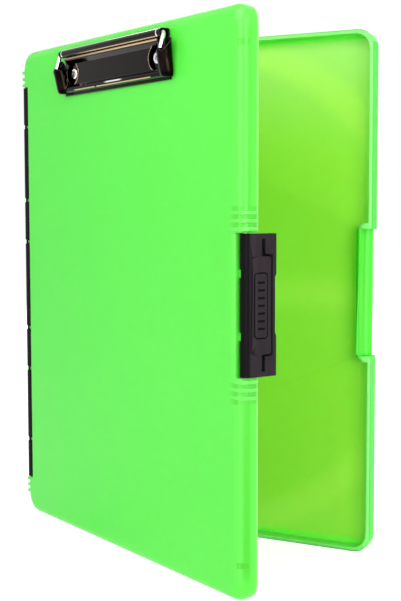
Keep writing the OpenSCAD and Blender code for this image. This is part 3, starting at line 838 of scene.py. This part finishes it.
class CLIPBOX_OT_shells(bpy.types.Operator):
    """Dress the lid and the tray in frosted green plastic"""

    bl_idname = "clipbox.shells"
    bl_label = "Shells"

    def execute(self, context):
        look = context.scene.clipbox_case
        lid = flattened(eased("Lid_shell", "lid", 0, corners="lid"))
        put(lid, "lid", frosted_green("Frosted green lid", look, True), ["lid"])
        tray = flattened(eased("Tray_shell", "tray", 0, corners="tray"))
        put(tray, "tray", frosted_green("Frosted green tray", look, False),
            ["tray"])
        return {"FINISHED"}


class CLIPBOX_OT_spine(bpy.types.Operator):
    """Dress the spine and the hinge pins"""

    bl_idname = "clipbox.spine"
    bl_label = "Spine"

    def execute(self, context):
        look = context.scene.clipbox_fittings
        spine = flattened(eased("Spine_strip", "spine", 0.2))
        put(spine, "spine",
            moulded_black("Moulded black spine", look.spine_colour, False, 0.42), ["spine"])
        steel = plated("Drawn steel pins", (0.55, 0.55, 0.56), 0.3, False, 0.8)
        repaint(("hinge_pin_rear", "hinge_pin_front", "latch_pin"), steel)
        return {"FINISHED"}


class CLIPBOX_OT_latch(bpy.types.Operator):
    """Dress the latch in textured black plastic"""

    bl_idname = "clipbox.latch"
    bl_label = "Latch"

    def execute(self, context):
        look = context.scene.clipbox_fittings
        latch = self.plate()
        put(latch, "latch",
            moulded_black("Textured black latch", look.latch_colour, True, 0.5, latch_shade),
            ["latch"])
        return {"FINISHED"}

    def plate(self):
        """The latch, its pad blended into the barrel and its slits blind at the bottom."""
        bm = merged("latch")
        back = Matrix.Rotation(OPEN_ANGLE, 3, "Z")
        bmesh.ops.bisect_plane(bm, geom=bm.verts[:] + bm.edges[:] + bm.faces[:],
                               plane_co=on_lid(0, FRONT_Y + PAD_FOLD, 0),
                               plane_no=back.transposed() @ Vector((0, 1, 0)), dist=1e-6)
        for vert in bm.verts:
            x, y, z = back @ (vert.co / MM - HINGE) + HINGE
            deep = y - FRONT_Y
            if x < LATCH_FACE_X + 0.1 or deep > PAD_END:
                continue
            x -= PAD_SINK * min(max((PAD_FOLD - deep) / PAD_SINK_OVER, 0), 1)
            y -= PAD_SHIFT + PAD_STRETCH * (PAD_BACK - deep) / PAD_LENGTH
            vert.co = on_lid(x, y, z)
        (inner, outer), (shallow, deep) = SLIT_FLOOR_X, SLIT_DEPTHS
        section = ((inner, shallow), (outer, shallow), (outer, deep), (inner, deep))
        for side in (-1, 1):
            mid = LATCH_Z + side * SLIT_OFF
            block(bm, [on_lid(x, FRONT_Y + y, z) for z in (mid - SLIT_HALF, mid + SLIT_HALF)
                       for x, y in section])
        bmesh.ops.triangulate(bm, faces=[f for f in bm.faces if len(f.verts) > 4])
        latch = closed(bm, "Latch_plate")
        shade(latch.data)
        return flattened(latch)


class CLIPBOX_OT_clip(bpy.types.Operator):
    """Build the paper clip: plate, jaw, wire, rivets and washers"""

    bl_idname = "clipbox.clip"
    bl_label = "Paper clip"

    def execute(self, context):
        look = context.scene.clipbox_clip
        dark = plated("Black nickel base", look.plate_colour, 0.07, rubbed=tube_highlights)
        folded = plated("Black nickel jaw", look.plate_colour, 0.07, rubbed=jaw_highlights)
        bright = plated("Bright plating", look.wire_colour, 0.1)
        base = flattened(eased("Clip_plate", "clip_base", 0.15))
        put(base, "lid", dark, ["clip_base"])
        put(self.jaw(), "jaw", folded, ["clip_jaw"])
        put(self.wire(look, bright), "jaw", None, ["clip_spring"])
        zinc = plated("Zinc washers", (0.6, 0.6, 0.61), 0.35, True, 0.6)
        repaint(("washer_left", "washer_right"), zinc)
        repaint(("rivet_left", "rivet_right"), bright)
        return {"FINISHED"}

    def jaw(self):
        """The jaw: its pressed plate, with an ear rolled up at each end."""
        jaw = eased("Clip_jaw_plate", "clip_jaw", 0)
        bm = bmesh.new()
        for side in (-1, 1):
            near, far = side * EAR_CUT_X, side * (EAR_CUT_X + EAR_ROOM_WIDE)
            low, high = FRONT_Y + EAR_ROOM_SUNK, FRONT_Y - EAR_ROOM_HIGH
            section = ((near, low), (far, low), (far, high), (near, high))
            block(bm, [on_lid(x, y, z) for z in EAR_ROOM_Z for x, y in section])
        bmesh.ops.recalc_face_normals(bm, faces=bm.faces)
        room = closed(bm, "Ear room")
        cut = jaw.modifiers.new("Make room for the ears", "BOOLEAN")
        cut.operation = "DIFFERENCE"
        cut.solver = "EXACT"
        cut.object = room
        baked(jaw)
        bpy.data.objects.remove(room)
        ears = [self.ear(side) for side in (-1, 1)]
        bm = bmesh.new()
        bm.from_mesh(jaw.data)
        for ear in ears:
            bm.from_mesh(ear.data)
            bpy.data.objects.remove(ear)
        bm.to_mesh(jaw.data)
        bm.free()
        shade(jaw.data, 40)
        return flattened(jaw)

    def ear(self, side):
        """One rolled ear: a fat open-topped roll that leans out and away from the lid."""
        # height, axis off the case's middle, axis above the lid, radius
        rings = [(306.9, 64.4, 2.4, 2.6), (307.0, 64.4, 2.4, 3.5), (307.4, 64.4, 2.4, 4.2),
                 (308.2, 64.4, 2.5, 4.6), (310.0, 64.4, 2.8, 4.8), (314.0, 64.4, 3.6, 4.9),
                 (318.0, 64.5, 4.5, 4.9), (321.0, 64.9, 5.1, 4.9), (324.0, 65.3, 5.7, 4.9),
                 (327.0, 65.8, 6.2, 4.9), (331.0, 66.4, 6.9, 4.9)]

        def axis(z):
            low = max(i for i in range(len(rings) - 1) if rings[i][0] <= z or i == 0)
            a, b = rings[low], rings[low + 1]
            share = min(max((z - a[0]) / (b[0] - a[0]), 0), 1)
            return [a[k] + (b[k] - a[k]) * share for k in (1, 2, 3)]

        bm = bmesh.new()
        wall_from = rings[EAR_FOOT_RINGS - 1][0]
        rows = []
        for step in range(EAR_FOOT_RINGS + EAR_WALL_RINGS):
            row = []
            for i in range(EAR_SIDES):
                around = 2 * math.pi * i / EAR_SIDES
                out, up = math.cos(around), math.sin(around)
                # the top slants down as the roll comes away from the lid
                slanted = 323.4 + (8.5 - (6.0 + 4.9 * up)) * 1.035
                share = min(max((out + 0.35) / 0.5, 0), 1)
                top = EAR_TOP + (min(slanted, EAR_HIGHEST_Z) - EAR_TOP) * share
                wall = step - EAR_FOOT_RINGS + 1
                z = (rings[step][0] if wall < 1
                     else wall_from + (top - wall_from) * wall / EAR_WALL_RINGS)
                x, s, radius = axis(z)
                high = max(s + radius * up, EAR_LOWEST)
                row.append(bm.verts.new(on_lid(side * (x + radius * out), FRONT_Y - high, z)))
            rows.append(row)
        for low, high in zip(rows, rows[1:]):
            for i in range(EAR_SIDES):
                j = (i + 1) % EAR_SIDES
                bm.faces.new((low[i], low[j], high[j], high[i]))
        bm.faces.new(rows[0][::-1])
        bmesh.ops.remove_doubles(bm, verts=bm.verts, dist=EAR_MERGE_GAP)
        bmesh.ops.recalc_face_normals(bm, faces=bm.faces)
        # an open surface has no inside, so the bottom face shows which way is out
        bottom = min(bm.faces, key=lambda f: f.calc_center_median().z)
        if bottom.normal.z > 0:
            bmesh.ops.reverse_faces(bm, faces=bm.faces)
        ear = closed(bm, "Ear")
        wall = ear.modifiers.new("Sheet", "SOLIDIFY")
        wall.thickness = EAR_SHEET * MM
        wall.offset = -1
        return baked(ear)

    def wire(self, look, material):
        """The spring wire, bent round its path."""
        foot_y, foot_z = WIRE_Y - ARM_LEAN, WIRE_Z - ARM_DROP
        points = [(-ARM_X, foot_y, foot_z), (-ARM_X, WIRE_Y, WIRE_Z), (ARM_X, WIRE_Y, WIRE_Z),
                  (ARM_X, foot_y, foot_z)]
        path = path_mesh("Spring_wire", [on_lid(*p) for p in points])
        tree = Tree("Bent wire", {"Wire radius": ("NodeSocketFloat", look.wire_radius),
                                  "Elbow radius": ("NodeSocketFloat", look.elbow_radius)})
        line = tree.node("GeometryNodeMeshToCurve", None, {0: tree.input.outputs[0]})
        bent = tree.node("GeometryNodeFilletCurve", {"mode": "POLY"},
                         {"Curve": line, "Count": 8, "Radius": tree.size("Elbow radius")})
        ring = tree.node("GeometryNodeCurvePrimitiveCircle", None,
                         {"Resolution": 20, "Radius": tree.size("Wire radius")})
        tube = tree.node("GeometryNodeCurveToMesh", None,
                         {"Curve": bent, "Profile Curve": ring, "Fill Caps": True})
        tree.close(tree.node("GeometryNodeSetShadeSmooth", None, {0: tube}), material)
        wire = tree.grow(path)
        shade(wire.data, 40)
        return wire


class CLIPBOX_OT_stage(bpy.types.Operator):
    """Set the floor, the light and the camera"""

    bl_idname = "clipbox.stage"
    bl_label = "Stage"

    def execute(self, context):
        look = context.scene.clipbox_stage
        self.floor(look)
        self.sky(context, look)
        self.lamps(look)
        self.camera(context, look)
        context.scene.view_settings.view_transform = "Standard"
        return {"FINISHED"}

    def floor(self, look):
        mesh = bpy.data.meshes.new("Floor")
        far = FLOOR_HALF
        corners = [(-far, -far, 0), (far, -far, 0), (far, far, 0), (-far, far, 0)]
        mesh.from_pydata(corners, [], [(0, 1, 2, 3)])
        floor = linked("Floor", mesh)
        fin = Finish("Pale floor")
        plain = fin.node("ShaderNodeBsdfDiffuse", None, {"Color": rgba(look.floor_colour)})
        # what the floor lacks of white once the sky has lit it
        lacking = PAST_WHITE - look.floor_colour[0] * look.sky_level
        glow = fin.node("ShaderNodeEmission", None,
                        {"Color": (1, 1, 1, 1), "Strength": lacking})
        rays = fin.node("ShaderNodeLightPath")
        outputs = rays.socket.node.outputs
        seen = rays.high(Field(fin, outputs["Is Glossy Ray"]))
        seen = seen.high(Field(fin, outputs["Is Transmission Ray"]))
        both = fin.node("ShaderNodeAddShader", None, {0: plain, 1: glow})
        shown = fin.node("ShaderNodeMixShader", None, {0: seen, 1: plain, 2: both})
        fin.node("ShaderNodeOutputMaterial", None, {"Surface": shown})
        floor.data.materials.append(fin.material)

    def sky(self, context, look):
        world = bpy.data.worlds.new("Even light")
        context.scene.world = world
        world.use_nodes = True
        tree = world.node_tree
        tree.nodes.clear()
        rays = tree.nodes.new("ShaderNodeLightPath")
        lit = tree.nodes.new("ShaderNodeBackground")
        lit.inputs["Strength"].default_value = look.sky_level
        white = tree.nodes.new("ShaderNodeBackground")
        mirror = tree.nodes.new("ShaderNodeMath")
        mirror.operation = "MAXIMUM"
        glass = tree.nodes.new("ShaderNodeMath")
        glass.operation = "MAXIMUM"
        mix = tree.nodes.new("ShaderNodeMixShader")
        out = tree.nodes.new("ShaderNodeOutputWorld")
        for node in (lit, white):
            node.inputs["Color"].default_value = (1, 1, 1, 1)
        tree.links.new(rays.outputs["Is Camera Ray"], mirror.inputs[0])
        tree.links.new(rays.outputs["Is Glossy Ray"], mirror.inputs[1])
        tree.links.new(mirror.outputs[0], glass.inputs[0])
        tree.links.new(rays.outputs["Is Transmission Ray"], glass.inputs[1])
        tree.links.new(glass.outputs[0], mix.inputs[0])
        tree.links.new(lit.outputs[0], mix.inputs[1])
        tree.links.new(white.outputs[0], mix.inputs[2])
        tree.links.new(mix.outputs[0], out.inputs["Surface"])

    def lamps(self, look):
        spots = [("Key lamp", (-0.35, -1.5, 1.1), (1.2, 1.2), 1.0),
                 ("Side lamp", (1.25, -1.1, 0.5), (0.9, 0.9), 1.2),
                 ("Back lamp", (-0.5, 1.5, 0.9), (1.2, 1.2), 1.2),
                 ("Upright strip", (1.0, -1.3, 0.4), (0.04, 1.2), 0.15)]
        for name, spot, (wide, high), share in spots:
            light = bpy.data.lights.new(name, "AREA")
            light.shape = "RECTANGLE"
            light.size = wide
            light.size_y = high
            light.energy = look.key_power * share
            lamp = bpy.data.objects.new(name, light)
            lamp.location = spot
            aim = Vector(LAMP_AIM) - Vector(spot)
            lamp.rotation_euler = aim.to_track_quat("-Z", "Y").to_euler()
            bpy.context.scene.collection.objects.link(lamp)

    def camera(self, context, look):
        data = bpy.data.cameras.new("Camera")
        data.sensor_fit = "VERTICAL"
        data.sensor_height = SENSOR_MM
        data.lens = look.focal_length
        data.clip_start = 0.01
        data.clip_end = 50.0
        camera = bpy.data.objects.new("Camera", data)
        right = Vector(CAMERA_RIGHT).normalized()
        ahead = Vector(CAMERA_AHEAD).normalized()
        up = right.cross(ahead).normalized()
        right = ahead.cross(up).normalized()
        turn = Matrix((right, up, -ahead)).transposed().to_4x4()
        camera.matrix_world = Matrix.Translation(CAMERA_SPOT) @ turn
        context.scene.collection.objects.link(camera)
        context.scene.camera = camera


class CLIPBOX_PT_panel(bpy.types.Panel):
    """Lists the pieces of the clipboard box"""

    bl_idname = "CLIPBOX_PT_panel"
    bl_label = "Clipboard box"
    bl_space_type = "VIEW_3D"
    bl_region_type = "UI"
    bl_category = "Clipboard box"

    def draw(self, context):
        for operator in PIECES:
            self.layout.operator(operator.bl_idname)
        for group in SETTINGS:
            look = getattr(context.scene, group)
            for name in look.bl_rna.properties.keys():
                if name not in ("rna_type", "name"):
                    self.layout.prop(look, name)


PIECES = (CLIPBOX_OT_shells, CLIPBOX_OT_spine, CLIPBOX_OT_latch, CLIPBOX_OT_clip,
          CLIPBOX_OT_stage)
SETTINGS = {"clipbox_case": CaseLook, "clipbox_fittings": FittingLook,
            "clipbox_clip": ClipLook, "clipbox_stage": StageLook}
CLASSES = (*SETTINGS.values(), *PIECES, CLIPBOX_PT_panel)


def register():
    for cls in CLASSES:
        bpy.utils.register_class(cls)
    for name, cls in SETTINGS.items():
        setattr(bpy.types.Scene, name, PointerProperty(type=cls))


def unregister():
    for name in SETTINGS:
        delattr(bpy.types.Scene, name)
    for cls in reversed(CLASSES):
        bpy.utils.unregister_class(cls)


def main():
    register()
    bpy.ops.clipbox.shells()
    bpy.ops.clipbox.spine()
    bpy.ops.clipbox.latch()
    bpy.ops.clipbox.clip()
    bpy.ops.clipbox.stage()


if __name__ == "__main__":
    main()
